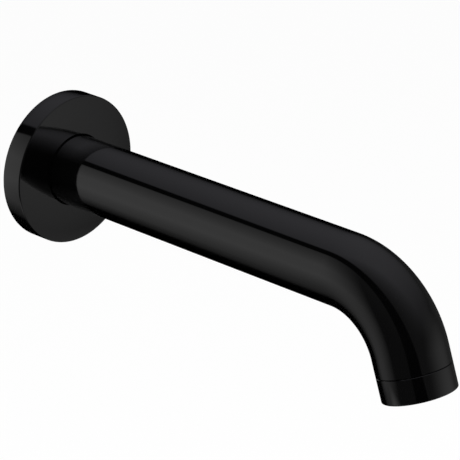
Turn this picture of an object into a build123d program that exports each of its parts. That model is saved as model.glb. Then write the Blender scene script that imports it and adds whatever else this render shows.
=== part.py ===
from build123d import *

import os
from math import cos, radians, sin, sqrt

# Wall-mounted bath spout: a bent round tube with a round wall flange and a screw-in outlet ring.
# The wall is the plane y = 0 and the spout runs out of it towards -y, with +z up.
# The origin is the centre of the flange on the wall. All sizes are in millimetres.

# Spout tube: one length of brass tube with a single bend
projection = 200.0  # wall to the middle of the outlet's mouth
tube_diameter = 30.0
tube_wall = 1.5
tube_setback = 2.0  # the tube's cut end stops this far short of the wall
bend_radius = 35.0  # of the tube's centreline
bend_angle = 71.0  # degrees turned downwards from level
braze_gap = 0.05  # all round a bush that is brazed into the tube
edge_break = 0.3  # chamfer on turned outside edges

# Wall nipple: screws into the wall's pipe elbow, and the spout pushes on to it
thread_diameter = 20.955  # G 1/2 pipe thread, drawn plain at its crest
thread_length = 14.0
thread_lead_in = 1.2
water_bore = 12.0
key_depth = 15.0  # hexagon for the key that screws the nipple in
socket_diameter = 20.0  # bore of the inlet bush that the nipple fits
socket_depth = 28.0
spigot_clearance = 0.1  # nipple to socket, on the radius
spigot_end_gap = 0.5
bush_stop = 4.0  # length of the bush's inner shoulder past the socket
stop_width = 2.0  # how far that shoulder stands in from the socket

# Seals of the nipple: two squeezed O-rings in turned grooves
nipple_groove_depth = 1.5
nipple_groove_width = 2.4
nipple_ring_pitch = 4.2
nipple_ring_inset = 3.5  # front groove's middle to the nipple's end
seal_clearance = 0.02  # all round a squeezed ring's section
seal_shoulder = 0.5  # its round shoulders, drawn as flats

# Grub screw: locks the spout on the nipple from below
screw_diameter = 5.0
screw_depth = 16.5  # from the wall, just clear of the flange
screw_clearance = 0.05
screw_recess = 0.3  # below the tube's outside
screw_groove_depth = 1.3
screw_point_gap = 0.6  # point to the groove's floor
screw_key_flats = 2.5
screw_key_depth = 2.4

# Wall flange: a turned cup that slides over the tube and covers the hole in the wall
flange_diameter = 64.0
flange_thickness = 10.0
flange_face = 2.0
flange_rim = 2.2
flange_edge_radius = 0.5
flange_inner_radius = 1.2
flange_clearance = 0.1  # hole to tube, on the radius
flange_hole_chamfer = 0.5
hub_wall = 2.0
hub_setback = 2.5  # the hub's end stops this far short of the wall
flange_groove_depth = 1.7
flange_groove_width = 2.6

# Outlet: a ring as wide as the tube, screwed into a bush in the tube's end
outlet_ring_height = 10.0
outlet_bush_height = 7.0
outlet_bush_wall = 2.0
outlet_bush_lip = 1.0  # thickness of the lip that the washer seals on
outlet_lip_width = 1.9
outlet_thread_clearance = 0.05
outlet_spigot_wall = 1.0
outlet_spigot_height = 4.4
mouth_lip_height = 1.2
mouth_lip_width = 0.8
mouth_bevel = 0.4
washer_clearance = 0.15

# Flow straightener in the outlet ring: honeycomb insert under a filter plate
insert_clearance = 0.1
insert_wall = 1.0
grid_height = 5.0
cell_flats = 1.7
cell_web = 0.4
filter_thickness = 0.8
filter_border = 1.4
filter_hole_flats = 1.5
filter_web = 0.6

# Sizes that follow from the ones above
tube_radius = tube_diameter / 2
bore_radius = tube_radius - tube_wall
bush_radius = bore_radius - braze_gap
outlet_straight = outlet_ring_height + outlet_bush_height
bend_turn = radians(bend_angle)
straight_end = projection - bend_radius * sin(bend_turn) - outlet_straight * cos(bend_turn)
socket_radius = socket_diameter / 2
spigot_radius = socket_radius - spigot_clearance
socket_end = tube_setback + socket_depth
nipple_end = socket_end - spigot_end_gap
hole_radius = tube_radius + flange_clearance
outlet_thread_radius = bush_radius - outlet_bush_wall
outlet_spigot_radius = outlet_thread_radius - outlet_thread_clearance
insert_seat_radius = outlet_spigot_radius - outlet_spigot_wall
insert_radius = insert_seat_radius - insert_clearance
spigot_top = outlet_ring_height + outlet_spigot_height
bush_top = outlet_straight
washer_top = bush_top - outlet_bush_lip

# Turning frames: z is the distance from the wall, and the height above the mouth
bend_start = Vector(0, -straight_end, 0)
outflow = Vector(0, -cos(bend_turn), -sin(bend_turn))
bend_drop = Vector(0, -bend_radius * sin(bend_turn), -bend_radius * (1 - cos(bend_turn)))
mouth = bend_start + bend_drop + outflow * outlet_straight
wall_frame = Plane(origin=(0, 0, 0), x_dir=(1, 0, 0), z_dir=(0, -1, 0))
mouth_frame = Plane(origin=mouth, x_dir=(1, 0, 0), z_dir=-outflow)


def turned(corners, frame):
    """A piece turned about the frame's z axis, from the (radius, z) corners of its half section."""
    section = make_face(Plane.XZ * Polyline(*corners, close=True))
    return frame * revolve(section, Axis.Z)


def squeezed_ring(inner_radius, outer_radius, groove_width, middle, frame):
    """An O-ring squeezed flat on the floor of its groove and on the wall that it seals."""
    inner = inner_radius + seal_clearance
    outer = outer_radius - seal_clearance
    low = middle - groove_width / 2 + seal_clearance
    high = middle + groove_width / 2 - seal_clearance
    corners = [
        (inner, low + seal_shoulder),
        (inner + seal_shoulder, low),
        (outer - seal_shoulder, low),
        (outer, low + seal_shoulder),
        (outer, high - seal_shoulder),
        (outer - seal_shoulder, high),
        (inner + seal_shoulder, high),
        (inner, high - seal_shoulder),
    ]
    return turned(corners, frame)


def honeycomb(field_radius, flats, web, height):
    """Hexagonal bars, a web apart, for every cell that fits inside a round field."""
    pitch = flats + web
    corner = flats / sqrt(3)
    reach = int(field_radius / pitch) + 1
    cell = RegularPolygon(corner, 6, rotation=30)
    bars = []
    for row in range(-reach, reach + 1):
        for column in range(-reach, reach + 1):
            place = Vector(pitch * (column + row / 2), pitch * row * sqrt(3) / 2)
            if place.length + corner <= field_radius:
                bars.append(Pos(place.X, place.Y) * extrude(cell, height))
    return bars


def screw_hole(radius):
    """The radial hole under the tube that the grub screw fits, as a cutting tool."""
    drill = Cylinder(radius, tube_diameter, align=(Align.CENTER, Align.CENTER, Align.MAX))
    return Pos(0, -screw_depth, 0) * drill


def make_spout_tube():
    """The bent tube, from its cut end behind the flange to the seam above the outlet ring."""
    back = Vector(0, -tube_setback, 0)
    seam = mouth - outflow * outlet_ring_height
    half_turn = bend_turn / 2
    half_drop = Vector(0, -bend_radius * sin(half_turn), -bend_radius * (1 - cos(half_turn)))
    rear_run = Line(back, bend_start)
    bend = ThreePointArc(bend_start, bend_start + half_drop, bend_start + bend_drop)
    front_run = Line(bend @ 1, seam)
    path = rear_run + bend + front_run
    wall_section = Plane(back, x_dir=(1, 0, 0), z_dir=(0, -1, 0)) * (
        Circle(tube_radius) - Circle(bore_radius)
    )
    tube = sweep(wall_section, path)
    seam_edge = tube.edges().filter_by(GeomType.CIRCLE).sort_by_distance(seam)
    outer_seam = [edge for edge in seam_edge[:2] if edge.radius > bore_radius + tube_wall / 2]
    tube = chamfer(outer_seam, edge_break)
    return tube - screw_hole(screw_diameter / 2 + screw_clearance)


def make_inlet_bush():
    """The turned socket brazed inside the tube's wall end, with a shoulder that stops the nipple."""
    bush_end = socket_end + bush_stop
    stop_radius = socket_radius - stop_width
    corners = [
        (socket_radius + edge_break, tube_setback),
        (bush_radius, tube_setback),
        (bush_radius, bush_end),
        (stop_radius, bush_end),
        (stop_radius, socket_end),
        (socket_radius, socket_end),
        (socket_radius, tube_setback + edge_break),
    ]
    bush = turned(corners, wall_frame)
    return bush - screw_hole(screw_diameter / 2 + screw_clearance)


def nipple_ring_places():
    """Distances from the wall to the middles of the two sealing grooves."""
    front = nipple_end - nipple_ring_inset
    return [front - nipple_ring_pitch, front]


def make_wall_nipple():
    """The turned nipple: pipe thread into the wall, grooved spigot into the spout."""
    crest = thread_diameter / 2
    groove_floor = spigot_radius - nipple_groove_depth
    screw_floor = spigot_radius - screw_groove_depth
    corners = [
        (water_bore / 2, -thread_length),
        (crest - thread_lead_in, -thread_length),
        (crest, -thread_length + thread_lead_in),
        (crest, 0),
        (spigot_radius, 0),
        (spigot_radius, screw_depth - screw_groove_depth),
        (screw_floor, screw_depth),
        (spigot_radius, screw_depth + screw_groove_depth),
    ]
    for middle in nipple_ring_places():
        low = middle - nipple_groove_width / 2
        high = middle + nipple_groove_width / 2
        corners += [(spigot_radius, low), (groove_floor, low), (groove_floor, high), (spigot_radius, high)]
    corners += [
        (spigot_radius, nipple_end - edge_break),
        (spigot_radius - edge_break, nipple_end),
        (water_bore / 2, nipple_end),
    ]
    nipple = turned(corners, wall_frame)
    key = extrude(RegularPolygon(water_bore / sqrt(3), 6), key_depth)
    return nipple - wall_frame * Pos(0, 0, nipple_end - key_depth) * key


def make_nipple_ring(middle):
    """One O-ring of the nipple, in its groove against the bush's socket."""
    floor = spigot_radius - nipple_groove_depth
    return squeezed_ring(floor, socket_radius, nipple_groove_width, middle, wall_frame)


def make_grub_screw():
    """A cone-point grub screw with a hexagon socket, standing on its point in the nipple's groove."""
    radius = screw_diameter / 2
    point = screw_point_gap + spigot_radius - screw_groove_depth
    point_flat = screw_point_gap - screw_clearance
    cone_height = radius - point_flat
    head = tube_radius - screw_recess
    screw_frame = Plane(origin=(0, -screw_depth, 0), x_dir=(1, 0, 0), z_dir=(0, 0, -1))
    corners = [
        (0, point),
        (point_flat, point),
        (radius, point + cone_height),
        (radius, head - edge_break),
        (radius - edge_break, head),
        (0, head),
    ]
    key = extrude(RegularPolygon(screw_key_flats / sqrt(3), 6), screw_key_depth)
    return turned(corners, screw_frame) - screw_frame * Pos(0, 0, head - screw_key_depth) * key


def flange_groove_middle():
    """Distance from the wall to the middle of the flange's seal."""
    return (hub_setback + flange_thickness) / 2


def make_wall_flange():
    """The round cover plate: a hollow cup with a hub that grips the tube through an O-ring."""
    outer = flange_diameter / 2
    groove_floor = hole_radius + flange_groove_depth
    hub_radius = groove_floor + hub_wall
    face_back = flange_thickness - flange_face
    middle = flange_groove_middle()
    low = middle - flange_groove_width / 2
    high = middle + flange_groove_width / 2
    corners = [
        (hole_radius, hub_setback),
        (hub_radius, hub_setback),
        (hub_radius, face_back),
        (outer - flange_rim, face_back),
        (outer - flange_rim, 0),
        (outer - edge_break, 0),
        (outer, edge_break),
        (outer, flange_thickness),
        (hole_radius + flange_hole_chamfer, flange_thickness),
        (hole_radius, flange_thickness - flange_hole_chamfer),
        (hole_radius, high),
        (groove_floor, high),
        (groove_floor, low),
        (hole_radius, low),
    ]
    cup = turned(corners, Plane.XY)
    rings = cup.edges().filter_by(GeomType.CIRCLE)
    front_edge = [e for e in rings if abs(e.radius - outer) < edge_break / 2 and e.center().Z > face_back]
    cup = fillet(front_edge, flange_edge_radius)
    rings = cup.edges().filter_by(GeomType.CIRCLE)
    back_corners = [e for e in rings if abs(e.center().Z - face_back) < edge_break / 2]
    inner_corners = [e for e in back_corners if e.radius >= hub_radius - edge_break]
    return wall_frame * fillet(inner_corners, flange_inner_radius)


def make_flange_ring():
    """The O-ring in the flange's hub, squeezed on the tube."""
    floor = hole_radius + flange_groove_depth
    return squeezed_ring(tube_radius, floor, flange_groove_width, flange_groove_middle(), wall_frame)


def make_outlet_bush():
    """The threaded bush brazed inside the tube's outlet end, with a lip for the washer."""
    corners = [
        (outlet_thread_radius + edge_break, outlet_ring_height),
        (bush_radius, outlet_ring_height),
        (bush_radius, bush_top),
        (outlet_thread_radius - outlet_lip_width, bush_top),
        (outlet_thread_radius - outlet_lip_width, washer_top),
        (outlet_thread_radius, washer_top),
        (outlet_thread_radius, outlet_ring_height + edge_break),
    ]
    return turned(corners, mouth_frame)


def make_outlet_ring():
    """The outlet ring: flush with the tube outside, a threaded spigot above, a lip at the mouth."""
    lip_radius = insert_seat_radius - mouth_lip_width
    corners = [
        (lip_radius, 0),
        (tube_radius - mouth_bevel, 0),
        (tube_radius, mouth_bevel),
        (tube_radius, outlet_ring_height - edge_break),
        (tube_radius - edge_break, outlet_ring_height),
        (outlet_spigot_radius, outlet_ring_height),
        (outlet_spigot_radius, spigot_top - edge_break),
        (outlet_spigot_radius - edge_break, spigot_top),
        (insert_seat_radius, spigot_top),
        (insert_seat_radius, mouth_lip_height),
        (lip_radius, mouth_lip_height),
    ]
    return turned(corners, mouth_frame)


def make_flow_insert():
    """The moulded flow straightener: a short tube with a honeycomb grid across its lower end."""
    filter_base = spigot_top - filter_thickness
    inner = insert_radius - insert_wall
    grid_top = mouth_lip_height + grid_height
    corners = [
        (0, mouth_lip_height),
        (insert_radius, mouth_lip_height),
        (insert_radius, filter_base),
        (inner, filter_base),
        (inner, grid_top),
        (0, grid_top),
    ]
    cells = honeycomb(inner, cell_flats, cell_web, grid_height)
    blank = turned(corners, Plane.XY)
    return mouth_frame * (blank - [Pos(0, 0, mouth_lip_height) * cell for cell in cells])


def make_filter_plate():
    """The perforated plate that keeps grit out of the honeycomb, level with the spigot's top."""
    plate = Cylinder(insert_radius, filter_thickness, align=(Align.CENTER, Align.CENTER, Align.MIN))
    holes = honeycomb(insert_radius - filter_border, filter_hole_flats, filter_web, filter_thickness)
    return mouth_frame * Pos(0, 0, spigot_top - filter_thickness) * (plate - holes)


def make_outlet_washer():
    """The flat rubber washer between the outlet ring's spigot and the bush's lip."""
    outer = outlet_thread_radius - washer_clearance
    inner = outlet_thread_radius - outlet_lip_width
    corners = [(inner, spigot_top), (outer, spigot_top), (outer, washer_top), (inner, washer_top)]
    return turned(corners, mouth_frame)


def make_all():
    """Every piece of the spout, by name."""
    rear_ring, front_ring = nipple_ring_places()
    return {
        "spout_tube": make_spout_tube(),
        "inlet_bush": make_inlet_bush(),
        "wall_nipple": make_wall_nipple(),
        "nipple_o_ring_rear": make_nipple_ring(rear_ring),
        "nipple_o_ring_front": make_nipple_ring(front_ring),
        "grub_screw": make_grub_screw(),
        "wall_flange": make_wall_flange(),
        "flange_o_ring": make_flange_ring(),
        "outlet_bush": make_outlet_bush(),
        "outlet_ring": make_outlet_ring(),
        "flow_insert": make_flow_insert(),
        "filter_plate": make_filter_plate(),
        "outlet_washer": make_outlet_washer(),
    }


os.makedirs("parts", exist_ok=True)
for name, piece in make_all().items():
    export_step(piece, f"parts/{name}.step")
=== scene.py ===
import math

import bmesh
import bpy
from mathutils import Matrix, Vector


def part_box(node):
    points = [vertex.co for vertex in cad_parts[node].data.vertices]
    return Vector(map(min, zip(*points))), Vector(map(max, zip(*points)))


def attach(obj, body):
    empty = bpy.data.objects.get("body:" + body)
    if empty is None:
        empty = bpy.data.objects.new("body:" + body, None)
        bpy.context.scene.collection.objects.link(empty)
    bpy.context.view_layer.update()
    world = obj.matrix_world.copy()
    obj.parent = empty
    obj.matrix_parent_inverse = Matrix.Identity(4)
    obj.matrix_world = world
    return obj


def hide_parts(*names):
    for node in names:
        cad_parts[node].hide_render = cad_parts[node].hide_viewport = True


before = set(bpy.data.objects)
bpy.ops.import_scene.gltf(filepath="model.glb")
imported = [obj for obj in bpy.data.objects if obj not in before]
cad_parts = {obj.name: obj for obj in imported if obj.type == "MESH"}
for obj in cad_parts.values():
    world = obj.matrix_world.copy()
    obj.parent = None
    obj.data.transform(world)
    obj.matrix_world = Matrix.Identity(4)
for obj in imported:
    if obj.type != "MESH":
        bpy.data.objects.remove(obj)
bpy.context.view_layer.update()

# Wall nipple
# A turned brass nipple. Its pipe thread screws into the elbow in the wall, and the spout
# slides over its grooved spigot and is locked there.
nipple_low, nipple_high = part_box("wall_nipple")
thread_crest = (nipple_high.x - nipple_low.x) / 2
thread_end = nipple_high.y
nipple_front = -nipple_low.y
thread_pitch = 0.001814
thread_height = 0.00116
thread_root = thread_crest - thread_height
thread_runout = 0.0016
thread_lead_in = 0.0012
thread_steps = 60
ridge_foot = 0.42 * thread_pitch
ridge_crest = 0.08 * thread_pitch
ridge_overlap = 0.0001
nipple_bore = 0.006
spigot_radius = 0.0099
spigot_break = 0.0003
lock_groove_place = 0.0165
lock_groove_depth = 0.0013
seal_groove_places = (0.0218, 0.026)
seal_groove_depth = 0.0015
seal_groove_half = 0.0012
brass_dark = (0.62, 0.43, 0.20)
brass_light = (0.78, 0.58, 0.31)
brass_roughness = (0.24, 0.38)
brass_patches = (160, 4)
lathe_ring_scale = 900
lathe_ring_waver = 0.6
lathe_ring_relief = (0.25, 0.00004)
wall_axis = Vector((0, 1, 0))
wall_centre = Vector((0, 0, 0))
turning_steps = 144
merge_distance = 1e-6
sharp_angle = math.radians(28)
noise_range = (0.3, 0.7)


def from_wall(radius, distance):
    """A point beside the tube's axis, by its distance out from the wall."""
    return Vector((radius, -distance, 0))


def turn(corners, place, centre, axis):
    """A piece turned on a lathe, from the (radius, distance) corners of its half section."""
    bm = bmesh.new()
    points = [bm.verts.new(place(radius, distance)) for radius, distance in corners]
    sides = [bm.edges.new(pair) for pair in zip(points, points[1:] + points[:1])]
    bmesh.ops.spin(
        bm, geom=points + sides, cent=centre, axis=axis,
        angle=math.tau, steps=turning_steps, use_merge=True,
    )
    bmesh.ops.remove_doubles(bm, verts=bm.verts, dist=merge_distance)
    bmesh.ops.recalc_face_normals(bm, faces=bm.faces)
    return bm


def shade(bm):
    """Smooth faces with crisp edges where the surface turns sharply."""
    for face in bm.faces:
        face.smooth = True
    for edge in bm.edges:
        edge.smooth = edge.calc_face_angle(0) < sharp_angle


def place_mesh(bm, name, material):
    """Puts a mesh in the scene as an object of its own."""
    mesh = bpy.data.meshes.new(name)
    bm.to_mesh(mesh)
    bm.free()
    mesh.materials.append(material)
    placed = bpy.data.objects.new(name, mesh)
    bpy.context.scene.collection.objects.link(placed)
    return placed


def make_piece(bm, name, material, finish, *nodes):
    """Puts a finished mesh on the spout's one body, in place of its plain solids."""
    shade(bm)
    piece = place_mesh(bm, name, material)
    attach(piece, "root")
    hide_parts(*nodes)
    return piece


def new_material(name):
    """A node material, with its nodes, links and shader."""
    material = bpy.data.materials.new(name)
    material.use_nodes = True
    nodes = material.node_tree.nodes
    return material, nodes, material.node_tree.links, nodes["Principled BSDF"]


def add_noise(nodes, links, scale, detail):
    """Cloudy noise that stays on the piece, with cells of about 1 / scale metres."""
    place = nodes.new("ShaderNodeTexCoord")
    noise = nodes.new("ShaderNodeTexNoise")
    noise.inputs["Scale"].default_value = scale
    noise.inputs["Detail"].default_value = detail
    links.new(place.outputs["Object"], noise.inputs["Vector"])
    return noise.outputs["Fac"]


def ramp(nodes, links, value, start, end, low, high):
    """A level that goes from low to high as the value goes from start to end, and holds there."""
    ranged = nodes.new("ShaderNodeMapRange")
    ranged.inputs["From Min"].default_value = start
    ranged.inputs["From Max"].default_value = end
    ranged.inputs["To Min"].default_value = low
    ranged.inputs["To Max"].default_value = high
    links.new(value, ranged.inputs["Value"])
    return ranged.outputs["Result"]


def tint(nodes, links, value, dark, light):
    """Mixes two close colours by a noise value."""
    mix = nodes.new("ShaderNodeMix")
    mix.data_type = "RGBA"
    mix.inputs["A"].default_value = (*dark, 1)
    mix.inputs["B"].default_value = (*light, 1)
    links.new(value, mix.inputs["Factor"])
    return mix.outputs["Result"]


def new_finish(name, noise, dark, light, roughness):
    """A material whose colour and roughness drift with a noise, given by its scale and detail."""
    material, nodes, links, shader = new_material(name)
    drift = add_noise(nodes, links, *noise)
    links.new(tint(nodes, links, drift, dark, light), shader.inputs["Base Color"])
    links.new(ramp(nodes, links, drift, *noise_range, *roughness), shader.inputs["Roughness"])
    return material, nodes, links, shader, drift


def add_bump(nodes, links, shader, value, strength, depth):
    """Gives the shader a fine relief from a noise or wave value."""
    bump = nodes.new("ShaderNodeBump")
    bump.inputs["Strength"].default_value = strength
    bump.inputs["Distance"].default_value = depth
    links.new(value, bump.inputs["Height"])
    links.new(bump.outputs["Normal"], shader.inputs["Normal"])


def turned_brass():
    """Bare brass with the fine rings that a lathe tool leaves."""
    material, nodes, links, shader, _ = new_finish(
        "turned_brass", brass_patches, brass_dark, brass_light, brass_roughness
    )
    shader.inputs["Metallic"].default_value = 1
    place = nodes.new("ShaderNodeTexCoord")
    rings = nodes.new("ShaderNodeTexWave")
    rings.bands_direction = "Y"
    rings.inputs["Scale"].default_value = lathe_ring_scale
    rings.inputs["Distortion"].default_value = lathe_ring_waver
    links.new(place.outputs["Object"], rings.inputs["Vector"])
    add_bump(nodes, links, shader, rings.outputs["Fac"], *lathe_ring_relief)
    return material


brass = turned_brass()
nipple_corners = [
    (nipple_bore, -thread_end),
    (thread_root - thread_lead_in / 2, -thread_end),
    (thread_root, -thread_end + thread_lead_in),
    (thread_root, -thread_runout),
    (thread_crest, -thread_runout / 2),
    (thread_crest, 0),
    (spigot_radius, 0),
    (spigot_radius, lock_groove_place - lock_groove_depth),
    (spigot_radius - lock_groove_depth, lock_groove_place),
    (spigot_radius, lock_groove_place + lock_groove_depth),
]
for groove in seal_groove_places:
    nipple_corners += [
        (spigot_radius, groove - seal_groove_half),
        (spigot_radius - seal_groove_depth, groove - seal_groove_half),
        (spigot_radius - seal_groove_depth, groove + seal_groove_half),
        (spigot_radius, groove + seal_groove_half),
    ]
nipple_corners += [
    (spigot_radius, nipple_front - spigot_break),
    (spigot_radius - spigot_break, nipple_front),
    (nipple_bore, nipple_front),
]
nipple_mesh = turn(nipple_corners, from_wall, wall_centre, wall_axis)

thread_start = -thread_end + thread_lead_in
thread_turns = (thread_end - thread_lead_in - thread_runout) / thread_pitch
ridge_sunk = thread_root - ridge_overlap
ridge = [
    nipple_mesh.verts.new(from_wall(radius, thread_start + shift))
    for radius, shift in (
        (ridge_sunk, -ridge_foot), (thread_crest, -ridge_crest),
        (thread_crest, ridge_crest), (ridge_sunk, ridge_foot),
    )
]
ridge_end = nipple_mesh.faces.new(ridge)
bmesh.ops.spin(
    nipple_mesh, geom=[ridge_end, *ridge_end.edges, *ridge], cent=wall_centre, axis=wall_axis,
    dvec=wall_axis * (-thread_pitch / thread_steps),
    angle=math.tau * thread_turns, steps=round(thread_steps * thread_turns),
)
bmesh.ops.recalc_face_normals(nipple_mesh, faces=nipple_mesh.faces)
make_piece(nipple_mesh, "nipple_turned", brass, "bare_brass", "wall_nipple")

# Nipple seals, flange seal and outlet washer
# Black nitrile rubber, moulded. The rings sit squeezed in their turned grooves, and the
# washer is trapped between the outlet ring and the bush.
rubber_dark = (0.010, 0.010, 0.010)
rubber_light = (0.028, 0.028, 0.027)
rubber_roughness = (0.62, 0.8)
rubber_grain = (2600, 6)
rubber_relief = (0.2, 0.00005)


def moulded_rubber():
    """Matte black rubber with a faint grain and a dusty bloom."""
    material, nodes, links, shader, grain = new_finish(
        "moulded_rubber", rubber_grain, rubber_dark, rubber_light, rubber_roughness
    )
    add_bump(nodes, links, shader, grain, *rubber_relief)
    return material


def dress(node, material):
    """Gives a solid that keeps its own shape its finished material."""
    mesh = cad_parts[node].data
    mesh.materials.clear()
    mesh.materials.append(material)


rubber = moulded_rubber()
for seal in ("nipple_o_ring_rear", "nipple_o_ring_front", "flange_o_ring", "outlet_washer"):
    dress(seal, rubber)

# Inlet bush and outlet bush
# Turned brass bushes, brazed into the two ends of the tube before it is coated.
for bush in ("inlet_bush", "outlet_bush"):
    dress(bush, brass)

# Spout tube
# One length of brass tube, bent down once near its end, polished and then coated in gloss
# black. It passes through the flange and stops just short of the wall.
tube_low, tube_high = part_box("spout_tube")
tube_radius = (tube_high.x - tube_low.x) / 2
tube_wall = 0.0015
tube_start = -tube_high.y
projection = 0.200
bend_radius = 0.035
bend_turn = math.radians(71)
outlet_ring_height = 0.010
outlet_straight = 0.017
seam_chamfer = 0.0004
screw_place = lock_groove_place
screw_hole_radius = 0.00255
bend_start = projection - bend_radius * math.sin(bend_turn) - outlet_straight * math.cos(bend_turn)
outflow = Vector((0, -math.cos(bend_turn), -math.sin(bend_turn)))
bend_centre = Vector((0, -bend_start, -bend_radius))
bend_end = bend_centre + Vector((0, -math.sin(bend_turn), math.cos(bend_turn))) * bend_radius
mouth = bend_end + outflow * outlet_straight
tube_sides = 144
bend_steps = 64
straight_steps = 24
drill_sides = 48
coat_dark = (0.0005, 0.0005, 0.0005)
coat_light = (0.0010, 0.0010, 0.0011)
coat_roughness = (0.05, 0.08)
coat_index = 1.5
coat_clouds = (35, 3)
coat_peel = (900, 2)
coat_relief = (0.02, 0.00005)


def black_coat():
    """Gloss black coating: near-black under a clear skin, with a faint orange peel."""
    material, nodes, links, shader, _ = new_finish(
        "black_coat", coat_clouds, coat_dark, coat_light, coat_roughness
    )
    shader.inputs["IOR"].default_value = coat_index
    peel = add_noise(nodes, links, *coat_peel)
    add_bump(nodes, links, shader, peel, *coat_relief)
    return material


def draw_out(bm, section, shift):
    """Extrudes a flat section and moves its new end along."""
    made = bmesh.ops.extrude_face_region(bm, geom=section)["geom"]
    corners = [item for item in made if isinstance(item, bmesh.types.BMVert)]
    bmesh.ops.translate(bm, verts=corners, vec=shift)
    return [item for item in made if isinstance(item, bmesh.types.BMFace)], corners


coat = black_coat()
tube_mesh = bmesh.new()
lie_down = Matrix.Translation(from_wall(0, tube_start)) @ Matrix.Rotation(math.pi / 2, 4, "X")
bmesh.ops.create_circle(
    tube_mesh, cap_ends=True, segments=tube_sides, radius=tube_radius, matrix=lie_down
)
disc = tube_mesh.faces[:]
bmesh.ops.inset_individual(tube_mesh, faces=disc, thickness=tube_wall, use_even_offset=True)
bmesh.ops.delete(tube_mesh, geom=disc, context="FACES_ONLY")
straight_step = from_wall(0, (bend_start - tube_start) / straight_steps)
section, corners = draw_out(tube_mesh, tube_mesh.faces[:], straight_step)
passed = []
for _ in range(straight_steps - 1):
    passed += section
    section, corners = draw_out(tube_mesh, section, straight_step)
passed += section
bent = bmesh.ops.spin(
    tube_mesh, geom=section, cent=bend_centre, axis=(1, 0, 0), angle=bend_turn, steps=bend_steps
)["geom_last"]
section = [item for item in bent if isinstance(item, bmesh.types.BMFace)]
tail = outlet_straight - outlet_ring_height - seam_chamfer
for length in (tail, seam_chamfer):
    passed += section
    section, corners = draw_out(tube_mesh, section, outflow * length)
bmesh.ops.delete(tube_mesh, geom=passed, context="FACES")
seam = mouth - outflow * outlet_ring_height
for corner in corners:
    if (corner.co - seam).length > tube_radius - tube_wall / 2:
        corner.co = seam + (corner.co - seam) * (1 - seam_chamfer / tube_radius)
bmesh.ops.recalc_face_normals(tube_mesh, faces=tube_mesh.faces)
tube = make_piece(tube_mesh, "tube_bent", coat, "black_coat", "spout_tube")

drill_mesh = bmesh.new()
bmesh.ops.create_cone(
    drill_mesh, cap_ends=True, segments=drill_sides, radius1=screw_hole_radius,
    radius2=screw_hole_radius, depth=tube_radius,
    matrix=Matrix.Translation((0, -screw_place, -tube_radius)),
)
drill = place_mesh(drill_mesh, "screw_drill", coat)
bore = tube.modifiers.new("screw_hole", "BOOLEAN")
bore.object = drill
bore.operation = "DIFFERENCE"
bore.solver = "EXACT"
bored = bpy.data.meshes.new_from_object(tube.evaluated_get(bpy.context.evaluated_depsgraph_get()))
tube.modifiers.clear()
tube.data = bored
bpy.data.objects.remove(drill)
bored_mesh = bmesh.new()
bored_mesh.from_mesh(bored)
shade(bored_mesh)
bored_mesh.to_mesh(bored)
bored_mesh.free()

# Grub screw
# A small blackened steel screw with a hexagon socket. It comes up through the tube and the
# bush from below and stands on its point in the nipple's groove.
steel_dark = (0.10, 0.10, 0.105)
steel_light = (0.24, 0.24, 0.245)
steel_roughness = (0.32, 0.5)
steel_wear = (1400, 5)
steel_relief = (0.15, 0.00003)


def blackened_steel():
    """Dark oxidised steel, worn a little lighter in patches."""
    material, nodes, links, shader, wear = new_finish(
        "blackened_steel", steel_wear, steel_dark, steel_light, steel_roughness
    )
    shader.inputs["Metallic"].default_value = 1
    add_bump(nodes, links, shader, wear, *steel_relief)
    return material


dress("grub_screw", blackened_steel())

# Wall flange
# A round cover plate turned from brass as a hollow cup and coated with the tube. Its rim
# lies on the wall, and its hub grips the tube through a rubber ring.
flange_low, flange_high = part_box("wall_flange")
flange_radius = (flange_high.x - flange_low.x) / 2
flange_thickness = flange_high.y - flange_low.y
flange_face = 0.002
flange_rim = 0.0022
flange_edge = 0.0005
flange_play = 0.0001
flange_hole = tube_radius + flange_play
hole_chamfer = 0.0005
hub_radius = 0.0188
hub_start = 0.0025
hub_groove_start = 0.00495
hub_groove_end = 0.00755
hub_groove_floor = 0.0168
rim_chamfer = 0.0003
rim_inside = flange_radius - flange_rim
inner_corner = 0.0012
face_back = flange_thickness - flange_face
corner_tolerance = 1e-5
round_steps = 4


def ring_edges(bm, radius, place, centre, axis):
    """The edges that run round the axis at one corner of the turned half section."""
    def on_corner(point):
        along = (point - centre).dot(axis)
        return (
            abs(along - place) < corner_tolerance
            and abs((point - centre - axis * along).length - radius) < corner_tolerance
        )
    return [edge for edge in bm.edges if all(on_corner(corner.co) for corner in edge.verts)]


def round_ring(bm, radius, place, centre, axis, size):
    """Rounds one circular edge of a turned piece."""
    bmesh.ops.bevel(
        bm, geom=ring_edges(bm, radius, place, centre, axis), offset=size,
        affect="EDGES", segments=round_steps, profile=0.5, material=-1,
    )


flange_mesh = turn(
    [
        (flange_hole, hub_start),
        (hub_radius, hub_start),
        (hub_radius, face_back),
        (rim_inside, face_back),
        (rim_inside, 0),
        (flange_radius - rim_chamfer, 0),
        (flange_radius, rim_chamfer),
        (flange_radius, flange_thickness),
        (flange_hole + hole_chamfer, flange_thickness),
        (flange_hole, flange_thickness - hole_chamfer),
        (flange_hole, hub_groove_end),
        (hub_groove_floor, hub_groove_end),
        (hub_groove_floor, hub_groove_start),
        (flange_hole, hub_groove_start),
    ],
    from_wall, wall_centre, wall_axis,
)
round_ring(flange_mesh, flange_radius, -flange_thickness, wall_centre, wall_axis, flange_edge)
for inner_radius in (hub_radius, rim_inside):
    round_ring(flange_mesh, inner_radius, -face_back, wall_centre, wall_axis, inner_corner)
make_piece(flange_mesh, "flange_cup", coat, "black_coat", "wall_flange")

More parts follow.
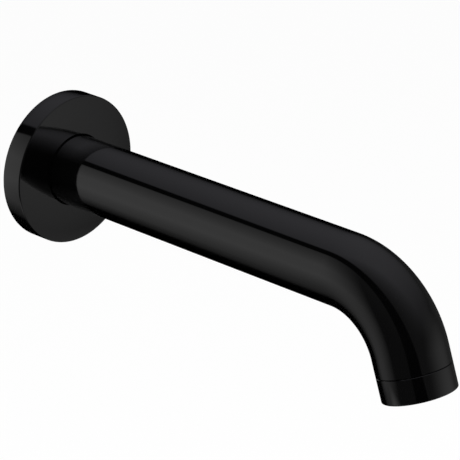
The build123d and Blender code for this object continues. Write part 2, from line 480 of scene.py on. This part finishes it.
# Outlet ring
# A turned brass ring, flush with the tube and coated with it. Its threaded spigot screws
# into the bush, and a lip at its mouth holds the flow insert.
ring_lip_radius = 0.0096
insert_seat_radius = 0.0104
ring_lip_height = 0.0012
ring_spigot_radius = 0.0114
ring_spigot_top = 0.0144
ring_top_chamfer = 0.0001
mouth_edge = 0.0005
mouth_up = -outflow


def from_mouth(radius, height):
    """A point beside the outlet's axis, by its height above the mouth."""
    return mouth + Vector((radius, 0, 0)) + mouth_up * height


ring_mesh = turn(
    [
        (ring_lip_radius, 0),
        (tube_radius, 0),
        (tube_radius, outlet_ring_height - ring_top_chamfer),
        (tube_radius - ring_top_chamfer, outlet_ring_height),
        (ring_spigot_radius, outlet_ring_height),
        (ring_spigot_radius, ring_spigot_top),
        (insert_seat_radius, ring_spigot_top),
        (insert_seat_radius, ring_lip_height),
        (ring_lip_radius, ring_lip_height),
    ],
    from_mouth, mouth, mouth_up,
)
round_ring(ring_mesh, tube_radius, 0, mouth, mouth_up, mouth_edge)
make_piece(ring_mesh, "ring_turned", coat, "black_coat", "outlet_ring")

# Flow insert and filter plate
# Moulded grey plastic: a honeycomb that straightens the water just inside the mouth, and
# the perforated plate that lies on it.
plastic_dark = (0.46, 0.47, 0.48)
plastic_light = (0.56, 0.57, 0.58)
plastic_roughness = (0.42, 0.55)
plastic_mottle = (240, 3)
plastic_grain = (5000, 3)
plastic_relief = (0.12, 0.00003)


def moulded_plastic():
    """Grey moulded plastic with a faint flow mottle and a spark-eroded grain."""
    material, nodes, links, shader, _ = new_finish(
        "moulded_plastic", plastic_mottle, plastic_dark, plastic_light, plastic_roughness
    )
    grain = add_noise(nodes, links, *plastic_grain)
    add_bump(nodes, links, shader, grain, *plastic_relief)
    return material


plastic = moulded_plastic()
for moulding in ("flow_insert", "filter_plate"):
    dress(moulding, plastic)

# Studio
# A pale floor far below the spout, white all round, and one broad lamp overhead. A light tent
# shows in the gloss only: a white top, soft boxes on all sides and below, and dark gaps.
floor_depth = 0.9
floor_half = 40
floor_white = (0.9, 0.9, 0.9, 1)
floor_roughness = 0.9
white_share = 0.88
fill_level = 0.8
lamp_place = (-0.3, -0.6, 1.6)
lamp_side = 2.0
lamp_power = 45
tent_radius = 0.85
tent_gap = 0.02
tent_detail = 4
overhead_white = (0.97, 0.96, 1.05, 1)
# Painted reflection: how many times brighter the front of the overhead cloth is when seen in a
# reflection of a reflection.
painted_reflection_gain = 12
right = Vector((1, 0, 0))
back = Vector((0, 1, 0))
up = Vector((0, 0, 1))


def toward(azimuth, elevation):
    """The direction at so many degrees round from the front and up from level."""
    heading, tilt = math.radians(azimuth), math.radians(elevation)
    level = math.cos(tilt)
    return Vector((math.sin(heading) * level, -math.cos(heading) * level, math.sin(tilt)))


# Each edge of a soft box has an axis, a start and an end along it, and the light at these two.
gap_right = (toward(77.8, 23.0), -0.155, -0.115, 0, 1)
gap_left = (toward(72.3, 14.8), -0.491, -0.467, 1, 0)
overhead_box = (
    (up, 0.22, 1, 0, 0.49),
    (toward(120, 0), -0.80, -0.19, 0, 1),
    (back, 0.655, 0.70, 1, 0.62),
    gap_right,
)
overhead_front = (back, -0.62, -0.50, 1, 0)
front_dusk = ((back, -0.37, 0.50, 0.09, 0), gap_right)
right_rise = (toward(29.2, -11.4), 0.758, 1, 0, 0.63)
right_box = (right_rise, right_rise, gap_right)
left_end = (right, -0.52, -0.15, 1, 0)
left_box = (
    (back, -0.05, 0.47, 0, 0.68),
    (up, 0.233, 0.723, 1, 0.26),
    (up, -0.697, -0.207, 0.26, 1),
    left_end,
    gap_left,
)
left_dusk = ((up, 0, 0.8, 0.055, 0.10), left_end, gap_left)
wall_box = (
    (back, 0.715, 0.95, 0, 0.75),
    (up, -0.34, -0.20, 0, 1),
    (up, 0.05, 0.55, 1, 0.3),
)
floor_box = (
    (up, -0.65, -0.50, 0.6, 0),
    (up, -0.86, -0.76, 0, 1),
    (back, 0.25, 0.45, 1, 0),
    (back, -0.66, -0.40, 0.4, 1),
)


def stage_piece(bm, name, material):
    """Puts a mesh in the scene that isn't part of the object."""
    piece = place_mesh(bm, name, material)
    return piece


def combine(nodes, links, operation, *values):
    """Adds or multiplies values, or takes the highest of them."""
    result = values[0]
    for value in values[1:]:
        joined = nodes.new("ShaderNodeMath")
        joined.operation = operation
        links.new(result, joined.inputs[0])
        links.new(value, joined.inputs[1])
        result = joined.outputs[0]
    return result


def seen_directly(nodes, links):
    """One where the camera, the gloss or any glass looks, and zero for the light that it gives."""
    path = nodes.new("ShaderNodeLightPath").outputs
    return combine(
        nodes, links, "MAXIMUM",
        path["Is Camera Ray"], path["Is Glossy Ray"], path["Is Transmission Ray"],
    )


def floor_paint():
    """Pale matt paint that is seen as white and still takes a shadow."""
    material, nodes, links, shader = new_material("floor_paint")
    shader.inputs["Base Color"].default_value = floor_white
    shader.inputs["Roughness"].default_value = floor_roughness
    share = ramp(nodes, links, seen_directly(nodes, links), 0, 1, 0, white_share)
    glow = nodes.new("ShaderNodeEmission")
    mix = nodes.new("ShaderNodeMixShader")
    links.new(share, mix.inputs["Fac"])
    links.new(shader.outputs["BSDF"], mix.inputs[1])
    links.new(glow.outputs["Emission"], mix.inputs[2])
    links.new(mix.outputs["Shader"], nodes["Material Output"].inputs["Surface"])
    return material


def tent_cloth(name):
    """Bare tent cloth, with the direction from the spout to each point of it."""
    material, nodes, links, shader = new_material(name)
    nodes.remove(shader)
    place = nodes.new("ShaderNodeTexCoord")
    direction = nodes.new("ShaderNodeVectorMath")
    direction.operation = "NORMALIZE"
    links.new(place.outputs["Object"], direction.inputs[0])
    return material, nodes, links, direction.outputs["Vector"]


def reach(nodes, links, direction, axis, *ends):
    """How far a box reaches, as a ramp on the share of a direction that lies along an axis."""
    share = nodes.new("ShaderNodeVectorMath")
    share.operation = "DOT_PRODUCT"
    share.inputs[1].default_value = axis
    links.new(direction, share.inputs[0])
    return ramp(nodes, links, share.outputs["Value"], *ends)


def soft_box(nodes, links, direction, edges):
    """The light of one box, which each of its edges lets fade."""
    levels = [reach(nodes, links, direction, *edge) for edge in edges]
    return combine(nodes, links, "MULTIPLY", *levels)


def painted_second_reflection(nodes, links, direction):
    """Painted reflection: a gain for the front of the cloth, seen only after a second bounce,
    where the flange and the tube show it in each other.
    """
    depth = nodes.new("ShaderNodeLightPath").outputs["Ray Depth"]
    again = ramp(nodes, links, depth, 1, 2, 0, 1)
    front = reach(nodes, links, direction, *overhead_front)
    both = combine(nodes, links, "MULTIPLY", again, front)
    return ramp(nodes, links, both, 0, 1, 1, painted_reflection_gain)


def overhead_cloth():
    """The white top of the tent, thin enough to let the cloth behind it show through."""
    material, nodes, links, direction = tent_cloth("overhead_cloth")
    box = soft_box(nodes, links, direction, overhead_box)
    # Painted reflection: the front of the cloth glows brighter where it is seen mirrored twice.
    gain = painted_second_reflection(nodes, links, direction)
    glow = nodes.new("ShaderNodeEmission")
    glow.inputs["Color"].default_value = overhead_white
    links.new(combine(nodes, links, "MULTIPLY", box, gain), glow.inputs["Strength"])
    gauze = nodes.new("ShaderNodeBsdfTransparent")
    both = nodes.new("ShaderNodeAddShader")
    links.new(glow.outputs["Emission"], both.inputs[0])
    links.new(gauze.outputs["BSDF"], both.inputs[1])
    links.new(both.outputs["Shader"], nodes["Material Output"].inputs["Surface"])
    return material


def side_cloth():
    """The soft boxes in front, on the right, on the left, towards the wall and below."""
    material, nodes, links, direction = tent_cloth("side_cloth")
    material.cycles.emission_sampling = "NONE"
    boxes = [
        soft_box(nodes, links, direction, edges)
        for edges in (front_dusk, right_box, left_box, left_dusk, wall_box, floor_box)
    ]
    glow = nodes.new("ShaderNodeEmission")
    links.new(combine(nodes, links, "ADD", *boxes), glow.inputs["Strength"])
    links.new(glow.outputs["Emission"], nodes["Material Output"].inputs["Surface"])
    return material


def hang_tent(name, radius, material):
    """A ball of tent cloth round the spout that shows in the gloss and nowhere else."""
    bm = bmesh.new()
    bmesh.ops.create_icosphere(bm, subdivisions=tent_detail, radius=radius)
    tent = stage_piece(bm, name, material)
    tent.visible_camera = False
    tent.visible_diffuse = False
    tent.visible_shadow = False
    tent.visible_transmission = False


floor_mesh = bmesh.new()
bmesh.ops.create_grid(floor_mesh, x_segments=1, y_segments=1, size=floor_half)
bmesh.ops.translate(floor_mesh, verts=floor_mesh.verts, vec=(0, 0, -floor_depth))
stage_piece(floor_mesh, "floor", floor_paint())

hang_tent("side_tent", tent_radius, side_cloth())
hang_tent("overhead_tent", tent_radius - tent_gap, overhead_cloth())

lamp_data = bpy.data.lights.new("overhead_lamp", "AREA")
lamp_data.shape = "SQUARE"
lamp_data.size = lamp_side
lamp_data.energy = lamp_power
lamp = bpy.data.objects.new("overhead_lamp", lamp_data)
lamp.location = lamp_place
lamp.visible_glossy = False
bpy.context.scene.collection.objects.link(lamp)

world = bpy.data.worlds.new("studio")
world.use_nodes = True
bpy.context.scene.world = world
sky = world.node_tree.nodes
wires = world.node_tree.links
sky["Background"].inputs["Color"].default_value = (1, 1, 1, 1)
sky_level = ramp(sky, wires, seen_directly(sky, wires), 0, 1, fill_level, 1)
wires.new(sky_level, sky["Background"].inputs["Strength"])

# Camera
# A long lens from the front left, a little above the spout.
camera_azimuth = -45.969
camera_elevation = 22.711
camera_place = (-0.66485, -0.74270, 0.38556)
film_width = 36
lens_length = 197.14
camera_data = bpy.data.cameras.new("camera")
camera_data.sensor_width = film_width
camera_data.lens = lens_length
camera = bpy.data.objects.new("camera", camera_data)
camera.location = camera_place
camera.rotation_mode = "QUATERNION"
camera_back = toward(camera_azimuth, camera_elevation)
camera.rotation_quaternion = (-camera_back).to_track_quat("-Z", "Y")
bpy.context.scene.collection.objects.link(camera)
bpy.context.scene.camera = camera
bpy.context.scene.view_settings.view_transform = "Standard"
